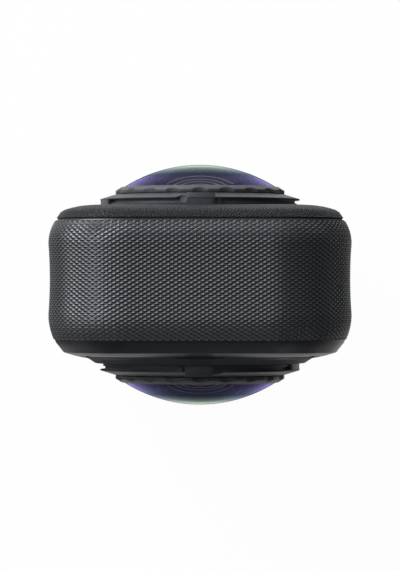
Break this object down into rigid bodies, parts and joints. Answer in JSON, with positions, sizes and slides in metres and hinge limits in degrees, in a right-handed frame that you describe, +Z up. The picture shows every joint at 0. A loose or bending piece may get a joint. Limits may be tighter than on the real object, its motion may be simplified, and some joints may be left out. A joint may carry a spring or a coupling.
{
  "type": "360 degree camera",
  "caption": "Pocket bar-shaped 360 degree camera with a fisheye lens dome on each face, textured grip sides, touchscreen, side-loading battery and a tripod thread in its foot.",
  "frame": {"origin": "mouth of the tripod thread, in the plane of the foot the camera stands on", "axes": "+Z up towards the lens end, +Y out of the back lens, -Y out of the front lens and screen, +X towards the battery door"},
  "size_m": [0.046, 0.037, 0.114],
  "materials": {
    "housing_plastic": "diamond-textured moulded polycarbonate",
    "cover_grain": "fine leather grain",
    "panel_gloss": "satin gloss",
    "screen_glass": "polished",
    "display": "dark panel",
    "steel": "plain",
    "mount_plastic": "fine satin",
    "ring_plastic": "fine satin",
    "dome_glass": "coated and polished",
    "lens_glass": "coated and polished",
    "rubber": "matt",
    "barrel_black": "matt black",
    "board": "solder mask",
    "sensor": "cover glass over silicon",
    "aluminium": "die cast",
    "pad": "soft pad",
    "flex": "polyimide",
    "battery_wrap": "moulded shell",
    "gold": "gold plated",
    "latch_plastic": "satin",
    "shutter_plastic": "satin",
    "key_plastic": "satin",
    "light_pipe": "clear moulded"
  },
  "bodies": {
    "camera": {"main_housing": "housing_plastic", "back_cover": "cover_grain", "cover_gasket": "rubber", "front_panel": "panel_gloss", "screen_glass": "screen_glass", "display_panel": "display", "foot_plate": "steel", "thread_insert": "steel", "foot_screws": "steel", "front_lens_mount": "mount_plastic", "front_inner_lens": "lens_glass", "front_lens_barrel": "barrel_black", "rear_lens_mount": "mount_plastic", "rear_inner_lens": "lens_glass", "rear_lens_barrel": "barrel_black", "relay_lenses": "lens_glass", "image_sensors": "sensor", "sensor_boards": "board", "lens_screws": "steel", "lens_chassis": "aluminium", "thermal_pads": "pad", "chassis_screws": "steel", "main_board": "board", "shield_cans": "steel", "board_screws": "steel", "sensor_flexes": "flex", "heat_spreader": "aluminium", "battery_bay": "barrel_black", "battery_contacts": "gold", "memory_card": "barrel_black", "card_socket": "steel", "tact_switches": "steel", "key_boards": "board", "usb_door_pin": "steel", "usb_socket": "steel", "io_board": "board", "speaker": "barrel_black", "microphones": "gold", "mic_meshes": "barrel_black", "front_status_light": "light_pipe", "rear_status_light": "light_pipe"},
    "front_lens_cell": {"front_lens_ring": "ring_plastic", "front_dome_glass": "dome_glass", "front_lens_seal": "rubber"},
    "rear_lens_cell": {"rear_lens_ring": "ring_plastic", "rear_dome_glass": "dome_glass", "rear_lens_seal": "rubber"},
    "battery": {"battery_pack": "battery_wrap", "battery_door": "housing_plastic", "battery_seal": "rubber"},
    "upper_latch": {"upper_latch": "latch_plastic"},
    "lower_latch": {"lower_latch": "latch_plastic"},
    "charging_door": {"usb_door": "housing_plastic", "usb_door_seal": "rubber"},
    "shutter_button": {"shutter_button": "shutter_plastic"},
    "lens_button": {"lens_button": "key_plastic"},
    "power_button": {"power_button": "key_plastic"},
    "quick_button": {"quick_button": "key_plastic"}
  },
  "joints": [
    {"name": "front_lens_twist", "type": "hinge", "parent": "camera", "child": "front_lens_cell", "pos_m": [0, -0.014, 0.092], "axis": [0, -1, 0], "range_deg": [0, 40]},
    {"name": "rear_lens_twist", "type": "hinge", "parent": "camera", "child": "rear_lens_cell", "pos_m": [0, 0.014, 0.092], "axis": [0, 1, 0], "range_deg": [0, 40]},
    {"name": "battery_pull", "type": "slide", "parent": "camera", "child": "battery", "axis": [1, 0, 0], "range_m": [0, 0.036]},
    {"name": "upper_latch_slide", "type": "slide", "parent": "battery", "child": "upper_latch", "axis": [0, 0, -1], "range_m": [0, 0.0018]},
    {"name": "lower_latch_slide", "type": "slide", "parent": "battery", "child": "lower_latch", "axis": [0, 0, 1], "range_m": [0, 0.0018]},
    {"name": "charging_door_hinge", "type": "hinge", "parent": "camera", "child": "charging_door", "pos_m": [-0.02145, 0.0009, 0.0182], "axis": [0, -1, 0], "range_deg": [0, 95]},
    {"name": "shutter_press", "type": "slide", "parent": "camera", "child": "shutter_button", "axis": [0, 1, 0], "range_m": [0, 0.0005], "stiffness_N_per_m": 600},
    {"name": "lens_button_press", "type": "slide", "parent": "camera", "child": "lens_button", "axis": [0, 1, 0], "range_m": [0, 0.0005], "stiffness_N_per_m": 600},
    {"name": "power_press", "type": "slide", "parent": "camera", "child": "power_button", "axis": [1, 0, 0], "range_m": [0, 0.0005], "stiffness_N_per_m": 600},
    {"name": "quick_press", "type": "slide", "parent": "camera", "child": "quick_button", "axis": [1, 0, 0], "range_m": [0, 0.0005], "stiffness_N_per_m": 600}
  ]
}
